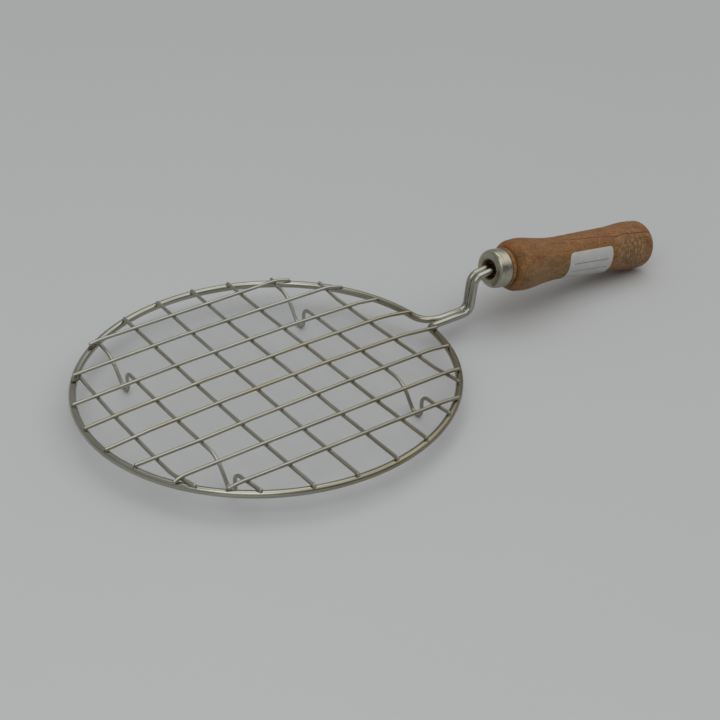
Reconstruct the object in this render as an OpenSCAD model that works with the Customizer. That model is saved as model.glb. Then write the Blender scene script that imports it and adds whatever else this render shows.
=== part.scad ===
// Papad grill: a round wire grate on four bent wire feet, with a double-wire
// neck, a steel ferrule and a turned wooden handle.
//
// Frame: millimetres, Z up.  The origin is the point of the rest plane below
// the centre of the round rim.  +X runs along the long top wires towards the
// handle, +Y to the side of the far wires.
//
// Every wire is drawn as a chain of straight rods and bent elbows that follows
// a list of corner points [x, y, z, bend radius].  Heights in those lists are
// measured from the centre plane of the rim wire.

/* [Rim and neck] */
// radius of the rim, to the centre of its wire
rim_r = 100;            // [80:1:120]
// thickness of the rim and neck wire
rim_wire_d = 4;         // [3.4:0.1:4]
// radius of the wide flare where the rim wire turns out into the neck
far_flare_r = 12;       // [6:0.5:20]
// radius of the tight bend where the other end turns out into the neck
near_flare_r = 4;       // [3:0.5:10]
// sideways position of the neck and the handle
neck_y = -6;            // [-12:0.5:0]
// distance between the centres of the two neck strands
strand_pitch = 4.05;    // [4.05:0.05:4.6]
// position of the upright part of the neck along X
riser_x = 129.4;        // [126:0.1:131]
// height of the upper end of the neck above the rim
neck_rise = 21.5;       // [18:0.5:26]
// how far the upright part leans towards the handle
riser_lean = 2.9;       // [0:0.1:4]

/* [Grate wires] */
// thickness of the grate wires
wire_d = 2;             // [1.9:0.02:2.1]
// height of the centre of the long top wires above the rim centre plane
top_z = 4.5;            // [4.4:0.02:4.6]
// height of a wire that lies on the rim above the rim centre plane
seat_z = 2.85;          // [2.8:0.02:2.9]
// how much a wire swells at a joint between two of its lengths
joint_swell = 0.04;     // [0.03:0.005:0.06]

/* [Feet] */
// depth of the wire centre at the tip of a foot below the rim centre plane
foot_depth = 11.6;      // [8:0.1:15]
// radius of the round bottom of a foot
foot_tip_r = 4.5;       // [3:0.1:5]
// angle of the sloped limb of a foot from the vertical
foot_slope = 35;        // [25:1:45]
// bend radius at the top of the sloped limb
foot_out_r = 14;        // [8:0.5:15]
// bend radius at the top of the upright limb
foot_in_r = 5.5;        // [3:0.5:6]

/* [Ferrule and handle] */
// distance of the ferrule face from the rim centre along X
face_x = 142.7;         // [135:0.1:150]
// outer radius of the ferrule
ferrule_r = 11;         // [9:0.1:12]
// length of the ferrule
ferrule_len = 8.2;      // [7.8:0.1:9]
// sheet thickness of the ferrule
ferrule_wall = 0.6;     // [0.5:0.1:1]
// radius of the hole in the ferrule face
ferrule_hole_r = 5.7;   // [5:0.1:7]
// outer rounding of the ferrule face
ferrule_round = 2.4;    // [1:0.1:3]
// length of the handle from the ferrule face to its end
handle_len = 120.5;     // [118:0.1:124]
// largest radius of the bulb next to the ferrule
bulb_r = 14.9;          // [13:0.1:16]
// radius of the waist
waist_r = 12.2;         // [11:0.1:14]
// largest radius of the tail
tail_r = 14.3;          // [13:0.1:16]
// distance of the largest tail section from the ferrule face
tail_s = 108.5;         // [104:0.5:110]
// rounding of the tail end
end_round = 5.2;        // [4:0.1:6]
// sideways swing of the handle out of the neck direction
handle_yaw = 0.7;       // [0:0.1:3]
// depth of the recess in the wood behind the hole of the ferrule
pit_depth = 4.5;        // [2:0.5:6]
// radius of that recess
pit_r = 5.2;            // [5:0.1:5.5]

/* [Label] */
// distance of the label from the ferrule face
label_s = 51;           // [45:0.5:60]
// length of the label along the handle
label_len = 34.5;       // [25:0.5:38]
// first edge of the label around the handle, from the top
label_a0 = 55;          // [40:1:70]
// angle that the label wraps around
label_wrap = 110;       // [80:1:130]
// paper thickness
label_t = 0.12;         // [0.1:0.01:0.2]
// corner radius of the label
label_corner = 4;       // [2:0.5:6]

/* [Hidden] */
$fn = 48;
rw = wire_d / 2;
zr = foot_depth + rw;                 // rim centre plane above the rest plane
up_z = foot_depth + rw + neck_rise;   // ferrule face centre above the rest plane
joint_gap = 0.08;                     // the lengths of a wire stop this far from the middle of a joint

// The handle leans down until its tail touches the rest plane.  The tail
// section there is an arc of radius tail_arc around (tail_s, tail_r - tail_arc).
tail_arc = 125;
lean_a = tail_s;
lean_b = tail_r - tail_arc;
lean_c = up_z - tail_arc;
handle_lean = asin(lean_c / sqrt(lean_a * lean_a + lean_b * lean_b)) - atan2(lean_b, lean_a);

steel = [0.62, 0.61, 0.56];
bright = [0.66, 0.66, 0.62];
wood = [0.62, 0.40, 0.24];
paper = [0.90, 0.90, 0.88];

// ---------------------------------------------------------------- wires
function unit(v) = v / norm(v);
function at(p) = [p[0], p[1], p[2]];
function dir(p, i) = unit(at(p[i + 1]) - at(p[i]));
function turn(p, i) = 2 * asin(norm(dir(p, i) - dir(p, i - 1)) / 2);
function cut(p, i) = (i == 0 || i == len(p) - 1 || len(p[i]) < 4) ? 0 : p[i][3] * tan(turn(p, i) / 2);

// a rigid frame whose Z runs along u, placed at c
module along(c, u) {
    h = abs(u[2]) < 0.7 ? [0, 0, 1] : [0, 1, 0];
    e1 = unit(cross(h, u));
    e2 = cross(u, e1);
    multmatrix([[e1[0], e2[0], u[0], c[0]],
                [e1[1], e2[1], u[1], c[1]],
                [e1[2], e2[2], u[2], c[2]],
                [0, 0, 0, 1]])
        children();
}

// a straight rod from a to b
module rod(a, b, r) along(a, unit(b - a)) cylinder(r = r, h = norm(b - a), $fn = 32);

// a swelling that joins two lengths; the lengths stop just short of its middle
module joint(c, u, r) along(c, u) sphere(r = r + joint_swell, $fn = 24);

// the same between a rod and an elbow: a short sleeve
module collar(c, u, r) along(c - u * 0.2, u) cylinder(r = r + joint_swell, h = 0.4, $fn = 32);

// an elbow at corner c, coming along u and leaving along v
module elbow(c, u, v, bend, r) {
    t = 2 * asin(norm(v - u) / 2);
    n = unit(cross(u, v));
    w = cross(n, u);                       // towards the centre of the bend
    o = c - u * bend * tan(t / 2) + w * bend;
    g = joint_gap / bend * 180 / PI;
    multmatrix([[-w[0], u[0], n[0], o[0]],
                [-w[1], u[1], n[1], o[1]],
                [-w[2], u[2], n[2], o[2]],
                [0, 0, 0, 1]])
        rotate([0, 0, g]) rotate_extrude(angle = t - 2 * g, $fn = 40) translate([bend, 0]) circle(r = r, $fn = 32);
    collar(c - u * bend * tan(t / 2), u, r);
    collar(c + v * bend * tan(t / 2), v, r);
}

// corners with a bend radius get an elbow, the others a plain joint
module wire(p, r) {
    n = len(p);
    for (i = [0 : n - 2])
        rod(at(p[i]) + dir(p, i) * (cut(p, i) + (i == 0 ? 0 : joint_gap)),
            at(p[i + 1]) - dir(p, i) * (cut(p, i + 1) + (i == n - 2 ? 0 : joint_gap)), r);
    for (i = [1 : n - 2])
        if (len(p[i]) > 3) elbow(at(p[i]), dir(p, i - 1), dir(p, i), p[i][3], r);
        else joint(at(p[i]), unit(dir(p, i - 1) + dir(p, i)), r);
}

module grate_wire(p) color(steel) translate([0, 0, zr]) wire(p, rw);

// Long top wires, from the far side (1) to the near side (8).  They lie over
// the cross wires, fall gently from the middle, and end on the rim.
s = seat_z;
t = top_z;
top_paths = [
    [[-63.3, 76.8, 4.3], [-57.5, 77.8, 4.5], [55.5, 78.2, 4.6], [63.3, 76.8, s]],
    [[-84, 54, 4.35],    [-55, 55.2, 4.4],  [-20, 56.1, t],  [30, 55.6, t],   [76, 55.1, 4.15], [83.5, 53.2, s]],
    [[-95.5, 31.3, s],   [-30, 31.6, t],    [30, 31.6, t],   [80, 31.7, 3.2], [92.6, 31.2, 1.75]],
    [[-100.1, 8.8, s],   [-80, 9.7, 3.35],  [-30, 10.4, t],  [30, 10.4, t],   [84, 11.4, 3.1], [98.6, 7.4, s]],
    [[-99.8, -13.2, s],  [-75, -11.6, 3.4], [-30, -11.6, t], [30, -11.3, t],  [80, -11, 3.2], [100.5, -14.4, s]],
    [[-94.2, -32.8, s],  [-60, -33.8, 3.75], [-30, -33.6, t], [30, -32.8, t], [84, -31.4, 3.1], [93.6, -33.2, s]],
    [[-86, -55.3, s],    [-81.3, -54.7, 4.15], [-40, -54.7, 4.45], [30, -55.1, t], [76, -55, 3.95], [84.3, -54.6, s]],
    [[-67.8, -73.9, s],  [-61, -74.8, 4.4], [-35, -75.4, 4.45], [25, -75.7, 4.45], [56, -76.3, 4.4], [67.4, -75.6, s]]];

// A foot in a cross wire: the corner points of its sloped limb, round bottom
// and upright limb.  x, y give the upright limb, za and zb the wire heights on
// the two sides, and lean how far the bottom swings along X.
tip_k = tan(90 - foot_slope / 2);
foot_v = -foot_depth - foot_tip_r * (tip_k - 1);
function foot(x, y, za, zb, lean) = [
    [x, y + (za - foot_v) * tan(foot_slope), za, foot_out_r],
    [x + lean, y, foot_v, foot_tip_r],
    [x, y, zb, foot_in_r]];

// Short cross wires, from the left (1) to the handle side (8), each from the
// far end to the near end.  Wires 2 and 7 are bent down into two feet each.
cross_paths = [
    [[-80.4, 57.5, s], [-80.7, 45, 1.5], [-82.1, 12, 1.35], [-82.5, -30, 1.35], [-82.4, -48, 1.45], [-80.2, -58.2, 2.8], [-78.9, -63.9, s]],
    concat([[-57.2, 80.6, s]], foot(-58.2, 45.4, 2.55, 2, 1.2), [[-58.8, -5, 2]], foot(-58.2, -64, 2, 2.55, 0.4), [[-57.6, -72, 2.6], [-55.8, -84.6, s]]),
    [[-34.3, 93, s],   [-34.5, 68, 2.6],  [-35.1, 20, 2.58], [-35, -30, 2.58], [-34.2, -65, 2.6], [-33.8, -96, s]],
    [[-10.7, 98.2, s], [-11.5, 58, 2.65], [-12.3, -58, 2.65], [-12, -100.6, s]],
    [[11.5, 98.8, s],  [10.5, 50, 2.65],  [10.8, 0, 2.65],   [10.2, -45, 2.65], [10.6, -75, 2.65], [10.6, -100.9, s]],
    [[32.4, 94, s],    [31.8, 50, 2.6],   [31.5, -50, 2.6],   [32, -95.4, s]],
    concat([[55.7, 83.8, s], [53.9, 77, 2.7]], foot(53.5, 46.9, 2.55, 2.03, 0), foot(53.4, -62.6, 2.03, 2.55, 0.4), [[53.5, -73, 2.6], [54.5, -84.6, s]]),
    [[75.7, 64.2, s],  [74.6, 44, 1.55],  [74.7, 15, 1.45],   [75.6, -25, 1.45],  [75.5, -45, 1.5], [76.4, -64.2, s]]];

// ---------------------------------------------------------------- rim
// One wire.  Its two ends leave the circle side by side, run out as the neck,
// rise, and enter the wooden handle.
far_y = neck_y + strand_pitch / 2;
near_y = neck_y - strand_pitch / 2;
far_c = [sqrt(pow(rim_r + far_flare_r, 2) - pow(far_y + far_flare_r, 2)), far_y + far_flare_r];
near_c = [sqrt(pow(rim_r + near_flare_r, 2) - pow(near_y - near_flare_r, 2)), near_y - near_flare_r];
far_a = atan2(far_c[1], far_c[0]);
near_a = atan2(near_c[1], near_c[0]);

// direction of the handle axis, and the neck strand that ends inside the wood
ax = [cos(handle_lean) * cos(handle_yaw), cos(handle_lean) * sin(handle_yaw), -sin(handle_lean)];
face_c = [face_x, neck_y, neck_rise];
tang = 26;   // length of the strand inside the handle
function strand(x0, dy) = [
    [x0 + joint_gap, neck_y + dy, 0],
    [riser_x - 0.3 * riser_lean, neck_y + dy, 0, 5],
    [riser_x + 0.7 * riser_lean, neck_y + dy, neck_rise - 1.2, 5.6],
    [face_x - 0.4, neck_y + dy, neck_rise + 0.4 * tan(handle_lean), 4],
    face_c + ax * tang + [-sin(handle_yaw), cos(handle_yaw), 0] * dy];

// a level bend of rim wire about centre c, from angle a to angle b
module arc(c, bend, a, b) {
    g = joint_gap / bend * 180 / PI;
    translate([c[0], c[1], 0]) rotate([0, 0, a + g]) rotate_extrude(angle = b - a - 2 * g)
        translate([bend, 0]) circle(r = rim_wire_d / 2);
}

module rim_and_neck_wire() color(steel) translate([0, 0, zr]) {
    arc([0, 0], rim_r, far_a, 360 + near_a);
    arc(far_c, far_flare_r, 180 + far_a, 270);
    arc(near_c, near_flare_r, 90, 180 + near_a);
    collar([rim_r * cos(far_a), rim_r * sin(far_a), 0], [-sin(far_a), cos(far_a), 0], rim_wire_d / 2);
    collar([rim_r * cos(near_a), rim_r * sin(near_a), 0], [-sin(near_a), cos(near_a), 0], rim_wire_d / 2);
    collar([far_c[0], far_y, 0], [1, 0, 0], rim_wire_d / 2);
    collar([near_c[0], near_y, 0], [1, 0, 0], rim_wire_d / 2);
    wire(strand(far_c[0], strand_pitch / 2), rim_wire_d / 2);
    wire(strand(near_c[0], -strand_pitch / 2), rim_wire_d / 2);
}

// ---------------------------------------------------------------- handle
// local frame of the handle: Z along its axis away from the ferrule face
module on_handle() translate([0, 0, zr]) translate(face_c)
    rotate([0, 90 + handle_lean, handle_yaw]) children();

// Outline stations [distance from the ferrule face, radius, slope].
stations = [
    [22, bulb_r, 0], [30, bulb_r - 0.75, -0.17], [40, waist_r + 0.6, -0.10],
    [52, waist_r, 0], [66, waist_r + 0.3, 0.022], [85, waist_r + 0.75, 0.03],
    [98, tail_r - 0.75, 0.115], [tail_s, tail_r, 0]];
// cubic between two stations
function seg(a, b, x) = let (h = b[0] - a[0], q = (x - a[0]) / h)
    a[1] * (1 + 2 * q) * (1 - q) * (1 - q) + h * a[2] * q * (1 - q) * (1 - q)
    + b[1] * q * q * (3 - 2 * q) + h * b[2] * q * q * (q - 1);
function outline(x) = [for (i = [0 : len(stations) - 2])
    if (x >= stations[i][0] && x <= stations[i + 1][0]) seg(stations[i], stations[i + 1], x)][0];
front_round = 6;
front_c = [18.2, bulb_r - 6.2];
end_s = handle_len - end_round;
function tail_fall(x) = tail_r - pow(x - tail_s, 2) / (2 * tail_arc) * 1.2;
collar_s = ferrule_len;            // the wood shows as a thin ring behind the ferrule
collar_r = ferrule_r + 0.1;
step = 1.5;

module handle_outline() polygon(concat(
    [[0, pit_depth], [pit_r, pit_depth], [pit_r, ferrule_wall + 0.05], [ferrule_r - ferrule_wall - 2.0, ferrule_wall + 0.05],
     [ferrule_r - ferrule_wall - 0.05, ferrule_wall + 2.1],
     [ferrule_r - ferrule_wall - 0.05, collar_s + 0.03],
     [collar_r - 0.4, collar_s + 0.03], [collar_r, collar_s + 0.4], [collar_r, collar_s + 2.6], [collar_r - 0.6, collar_s + 3],
     [collar_r - 0.6, 12.4]],
    [for (a = [165 : -7.5 : 105]) [front_c[1] + front_round * sin(a), front_c[0] + front_round * cos(a)]],
    [for (x = [20 : 1 : 21]) [bulb_r - pow(x - 22, 2) / 40, x]],
    [for (x = [22 : step : tail_s - 0.5]) [outline(x), x]],
    [[tail_r, tail_s], [tail_fall(tail_s + 3.5), tail_s + 3.5]],
    [for (a = [0 : 10 : 90]) [tail_fall(end_s) - end_round + end_round * cos(a), end_s + end_round * sin(a)]],
    [[0, handle_len]]));

module wooden_handle() color(wood) difference() {
    on_handle() rotate_extrude($fn = 72) handle_outline();
    translate([0, 0, zr]) for (dy = [-strand_pitch / 2, strand_pitch / 2])
        rod(face_c + [-sin(handle_yaw), cos(handle_yaw), 0] * dy - ax * 1.5,
            face_c + ax * (tang + 0.3) + [-sin(handle_yaw), cos(handle_yaw), 0] * dy, rim_wire_d / 2 + 0.03);
}

module ferrule() color(bright) on_handle() rotate_extrude($fn = 72) difference() {
    union() {
        square([ferrule_r - ferrule_round, ferrule_round + 0.01]);
        translate([0, ferrule_round]) square([ferrule_r, ferrule_len - ferrule_round]);
        intersection() {
            translate([ferrule_r - ferrule_round, ferrule_round]) circle(r = ferrule_round, $fn = 48);
            square([ferrule_r + 1, ferrule_round + 1]);
        }
    }
    square([ferrule_hole_r, 3]);
    polygon([[0, ferrule_wall], [ferrule_r - ferrule_wall - 1.9, ferrule_wall],
             [ferrule_r - ferrule_wall, ferrule_wall + 2], [ferrule_r - ferrule_wall, ferrule_len + 1], [0, ferrule_len + 1]]);
}

// ---------------------------------------------------------------- label
label_gap = 0.03;
module label_strip() polygon(concat(
    [for (k = [0 : 14]) let (x = label_s + label_len * k / 14) [outline(x) + label_gap, x]],
    [for (k = [14 : -1 : 0]) let (x = label_s + label_len * k / 14) [outline(x) + label_gap + label_t, x]]));

module paper_label() color(paper) on_handle() intersection() {
    rotate([0, 0, 180 + label_a0]) rotate_extrude(angle = label_wrap, $fn = 96) label_strip();
    rotate([0, 0, 180 + label_a0 + label_wrap / 2]) rotate([90, 0, 90]) linear_extrude(height = 40)
        translate([0, label_s + label_len / 2]) for (k = [0, 1]) {
            square(k == 0 ? [60, label_len - 2 * label_corner] : [2 * waist_r * sin(label_wrap / 2) - 2 * label_corner, label_len], center = true);
            for (i = [-1, 1], j = [-1, 1]) translate([i * (waist_r * sin(label_wrap / 2) + 0.15 - label_corner), j * (label_len / 2 - label_corner)]) circle(r = label_corner);
        }
}

// ---------------------------------------------------------------- output
rim_and_neck_wire();
module top_wire_1() grate_wire(top_paths[0]);
module top_wire_2() grate_wire(top_paths[1]);
module top_wire_3() grate_wire(top_paths[2]);
module top_wire_4() grate_wire(top_paths[3]);
module top_wire_5() grate_wire(top_paths[4]);
module top_wire_6() grate_wire(top_paths[5]);
module top_wire_7() grate_wire(top_paths[6]);
module top_wire_8() grate_wire(top_paths[7]);
module cross_wire_1() grate_wire(cross_paths[0]);
module cross_wire_2_with_feet() grate_wire(cross_paths[1]);
module cross_wire_3() grate_wire(cross_paths[2]);
module cross_wire_4() grate_wire(cross_paths[3]);
module cross_wire_5() grate_wire(cross_paths[4]);
module cross_wire_6() grate_wire(cross_paths[5]);
module cross_wire_7_with_feet() grate_wire(cross_paths[6]);
module cross_wire_8() grate_wire(cross_paths[7]);
top_wire_1();
top_wire_2();
top_wire_3();
top_wire_4();
top_wire_5();
top_wire_6();
top_wire_7();
top_wire_8();
cross_wire_1();
cross_wire_2_with_feet();
cross_wire_3();
cross_wire_4();
cross_wire_5();
cross_wire_6();
cross_wire_7_with_feet();
cross_wire_8();
ferrule();
wooden_handle();
paper_label();
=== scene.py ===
import math
import random

import bpy
import bmesh
from mathutils import Matrix, Vector, noise


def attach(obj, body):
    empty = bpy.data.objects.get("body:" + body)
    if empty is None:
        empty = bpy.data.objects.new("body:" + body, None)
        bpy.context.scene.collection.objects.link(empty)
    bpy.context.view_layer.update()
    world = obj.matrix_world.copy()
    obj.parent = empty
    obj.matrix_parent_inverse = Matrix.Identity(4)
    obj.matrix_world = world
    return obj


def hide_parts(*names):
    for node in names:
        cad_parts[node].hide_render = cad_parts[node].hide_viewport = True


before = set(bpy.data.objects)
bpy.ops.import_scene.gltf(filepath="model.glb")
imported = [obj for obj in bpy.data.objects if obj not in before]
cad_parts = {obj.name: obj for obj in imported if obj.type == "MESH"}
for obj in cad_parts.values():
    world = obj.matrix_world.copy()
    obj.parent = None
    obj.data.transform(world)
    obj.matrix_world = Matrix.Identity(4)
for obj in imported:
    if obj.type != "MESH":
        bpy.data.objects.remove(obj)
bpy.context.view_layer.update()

# Lengths below are millimetres, heights of wires are measured from the centre plane of the rim wire.
MM = 0.001
ZR = 12.6
rnd = random.Random(7)
scene = bpy.context.scene


# ------------------------------------------------------------------ node graphs
class Graph:
    def __init__(self, name):
        self.mat = bpy.data.materials.new(name)
        self.mat.use_nodes = True
        self.t = self.mat.node_tree
        self.t.nodes.clear()
        out = self.t.nodes.new("ShaderNodeOutputMaterial")
        self.b = self.t.nodes.new("ShaderNodeBsdfPrincipled")
        self.t.links.new(self.b.outputs[0], out.inputs["Surface"])

    def put(self, socket, value):
        if isinstance(value, bpy.types.NodeSocket):
            self.t.links.new(value, socket)
        elif value is not None:
            if isinstance(value, (tuple, list)) and len(value) == 3 and socket.type == "RGBA":
                value = (*value, 1)
            socket.default_value = value

    def attr(self, name, vector=False):
        n = self.t.nodes.new("ShaderNodeAttribute")
        n.attribute_name = name
        return n.outputs["Vector"] if vector else n.outputs["Fac"]

    def scale(self, v, s):
        n = self.t.nodes.new("ShaderNodeVectorMath")
        n.operation = "MULTIPLY"
        self.put(n.inputs[0], v)
        n.inputs[1].default_value = s
        return n.outputs[0]

    def add(self, v, w):
        n = self.t.nodes.new("ShaderNodeVectorMath")
        n.operation = "ADD"
        self.put(n.inputs[0], v)
        self.put(n.inputs[1], w)
        return n.outputs[0]

    def split(self, v):
        n = self.t.nodes.new("ShaderNodeSeparateXYZ")
        self.put(n.inputs[0], v)
        return n.outputs

    def join(self, x, y, z):
        n = self.t.nodes.new("ShaderNodeCombineXYZ")
        for s, v in zip(n.inputs, (x, y, z)):
            self.put(s, v)
        return n.outputs[0]

    def noise(self, v, scale=1.0, detail=3.0, rough=0.5, distort=0.0, colour=False):
        n = self.t.nodes.new("ShaderNodeTexNoise")
        self.put(n.inputs["Vector"], v)
        n.inputs["Scale"].default_value = scale
        n.inputs["Detail"].default_value = detail
        n.inputs["Roughness"].default_value = rough
        n.inputs["Distortion"].default_value = distort
        return n.outputs["Color" if colour else "Fac"]

    def math(self, op, a, b=None, c=None, clamp=False):
        n = self.t.nodes.new("ShaderNodeMath")
        n.operation = op
        n.use_clamp = clamp
        for s, v in zip(n.inputs, (a, b, c)):
            self.put(s, v)
        return n.outputs[0]

    def range(self, v, a, b, lo=0.0, hi=1.0, smooth=False):
        n = self.t.nodes.new("ShaderNodeMapRange")
        n.interpolation_type = "SMOOTHSTEP" if smooth else "LINEAR"
        self.put(n.inputs["Value"], v)
        for k, x in (("From Min", a), ("From Max", b), ("To Min", lo), ("To Max", hi)):
            n.inputs[k].default_value = x
        return n.outputs[0]

    def mix(self, f, a, b, mode="MIX"):
        n = self.t.nodes.new("ShaderNodeMix")
        n.data_type = "RGBA"
        n.blend_type = mode
        self.put(n.inputs[0], f)
        self.put(n.inputs[6], a)
        self.put(n.inputs[7], b)
        return n.outputs[2]

    def ramp(self, f, stops):
        n = self.t.nodes.new("ShaderNodeValToRGB")
        self.put(n.inputs[0], f)
        els = n.color_ramp.elements
        while len(els) < len(stops):
            els.new(0.5)
        for e, (p, c) in zip(els, stops):
            e.position = p
            e.color = (*c, 1)
        return n.outputs[0]

    def bump(self, height, strength, distance, normal=None):
        n = self.t.nodes.new("ShaderNodeBump")
        n.inputs["Strength"].default_value = strength
        n.inputs["Distance"].default_value = distance
        self.put(n.inputs["Height"], height)
        if normal is not None:
            self.put(n.inputs["Normal"], normal)
        return n.outputs[0]

    def set(self, **kw):
        for k, v in kw.items():
            self.put(self.b.inputs[k.replace("_", " ")], v)


def steel_wire_material(name, smooth, drawn_and_reflection_lines):
    """Drawn stainless wire: fine lines along the wire, duller patches, straw and brown heat tint near welds.
    smooth is taken off the roughness; the last argument is the strength of the dark lines along the wire: drawing
    marks, and at the rim's higher strength also painted dark reflections."""
    g = Graph(name)
    w = g.attr("wire", True)
    heat = g.attr("heat")
    straw = g.attr("straw")
    lines = g.noise(g.scale(w, (2.6, 2.6, 0.035)), 1.0, 3.0, 0.6)
    fine = g.noise(g.scale(w, (7.0, 7.0, 0.12)), 1.0, 2.0, 0.6)
    patch = g.noise(g.scale(w, (0.35, 0.35, 0.045)), 1.0, 4.0, 0.55)
    grain = g.noise(g.scale(w, (1.4, 1.4, 1.1)), 1.0, 4.0, 0.65)
    col = g.mix(g.range(patch, 0.36, 0.66), (0.40, 0.405, 0.355), (0.50, 0.505, 0.45))
    # dark lines along the wire: drawing marks, and at the rim's higher strength also painted dark reflections
    col = g.mix(g.range(lines, 0.42, 0.66, 0.0, drawn_and_reflection_lines), col, (0.22, 0.22, 0.185))
    tint = g.math("MULTIPLY", straw, g.range(g.noise(g.scale(w, (0.25, 0.25, 0.03)), 1.0, 3.0), 0.3, 0.62))
    col = g.mix(tint, col, (0.41, 0.355, 0.235))
    col = g.mix(g.attr("brown"), col, g.mix(g.range(patch, 0.36, 0.66), (0.225, 0.195, 0.135), (0.305, 0.270, 0.190)))
    h = g.math("ADD", heat, g.math("MULTIPLY", g.math("SUBTRACT", grain, 0.5), 0.7), clamp=True)
    h = g.math("MULTIPLY", h, g.range(heat, 0.02, 0.22))
    burnt = g.ramp(h, [(0.0, (0.45, 0.45, 0.40)), (0.3, (0.37, 0.32, 0.23)), (0.55, (0.24, 0.19, 0.135)), (0.8, (0.12, 0.105, 0.095)), (1.0, (0.06, 0.055, 0.055))])
    col = g.mix(g.range(h, 0.0, 0.5, 0.0, 0.94), col, burnt)
    rough = g.math("ADD", g.range(lines, 0.3, 0.7, 0.235 - smooth, 0.345 - smooth), g.math("MULTIPLY", h, 0.26))
    rough = g.math("ADD", rough, g.range(patch, 0.4, 0.7, 0.0, 0.06))
    bump = g.bump(fine, 0.25, 0.00003)
    bump = g.bump(grain, 0.12, 0.00006, bump)
    g.set(Base_Color=col, Metallic=1.0, Roughness=rough, Normal=bump)
    return g.mat


def weld_material():
    """Fused steel of a spot weld: dull, dark brown to blue-grey, pitted, and kept dark as painted shade where the wire
    ends sit on the rim.
    """
    g = Graph("steel_weld_fused_and_painted_shade")
    w = g.attr("wire", True)
    a = g.noise(g.scale(w, (0.9, 0.9, 0.9)), 1.0, 4.0, 0.6)
    b = g.noise(g.scale(w, (3.5, 3.5, 3.5)), 1.0, 3.0, 0.6)
    # the palest stop is kept low as painted shade for the dark lines where the wire ends meet the rim
    col = g.ramp(a, [(0.3, (0.075, 0.062, 0.052)), (0.45, (0.14, 0.115, 0.085)), (0.58, (0.22, 0.19, 0.14)), (0.72, (0.33, 0.30, 0.24))])
    bump = g.bump(b, 0.6, 0.00012)
    g.set(Base_Color=col, Metallic=0.95, Roughness=g.range(b, 0.3, 0.7, 0.38, 0.62), Normal=bump)
    return g.mat


def ferrule_material():
    """Pressed and polished sheet: fine lines round the axis, soft smudges, a little straw tarnish."""
    g = Graph("ferrule_polished_sheet")
    p = g.attr("local", True)
    x, y, z = g.split(p)
    r = g.math("SQRT", g.math("ADD", g.math("MULTIPLY", x, x), g.math("MULTIPLY", y, y)))
    around = g.join(g.math("MULTIPLY", x, 0.05), g.math("MULTIPLY", y, 0.05), g.math("ADD", g.math("MULTIPLY", z, 3.2), g.math("MULTIPLY", r, 2.9)))
    lines = g.noise(around, 2.2, 4.0, 0.65)
    smudge = g.noise(g.scale(p, (0.16, 0.16, 0.16)), 1.0, 4.0, 0.6, 0.6)
    speck = g.noise(g.scale(p, (1.6, 1.6, 1.6)), 1.0, 4.0, 0.7)
    col = g.mix(g.range(smudge, 0.35, 0.65), (0.385, 0.370, 0.290), (0.495, 0.478, 0.388))
    col = g.mix(g.range(speck, 0.56, 0.74, 0.0, 0.30), col, (0.30, 0.26, 0.19))
    col = g.mix(g.range(lines, 0.3, 0.7, 0.0, 0.18), col, (0.30, 0.29, 0.24))
    # painted shade: near-black in the seam notch, along the seam line, round the hole and over the back edge by the
    # wood; the roughness below is raised there as grime
    painted_shade_and_grime = g.attr("painted_shade_and_grime")
    col = g.mix(g.math("MULTIPLY", painted_shade_and_grime, 0.9), col, (0.07, 0.055, 0.045))
    rough = g.math("ADD", g.range(smudge, 0.3, 0.7, 0.23, 0.33), g.math("MULTIPLY", painted_shade_and_grime, 0.3))
    bump = g.bump(lines, 0.25, 0.00004)
    g.set(Base_Color=col, Metallic=1.0, Roughness=rough, Normal=bump)
    return g.mat


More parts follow.
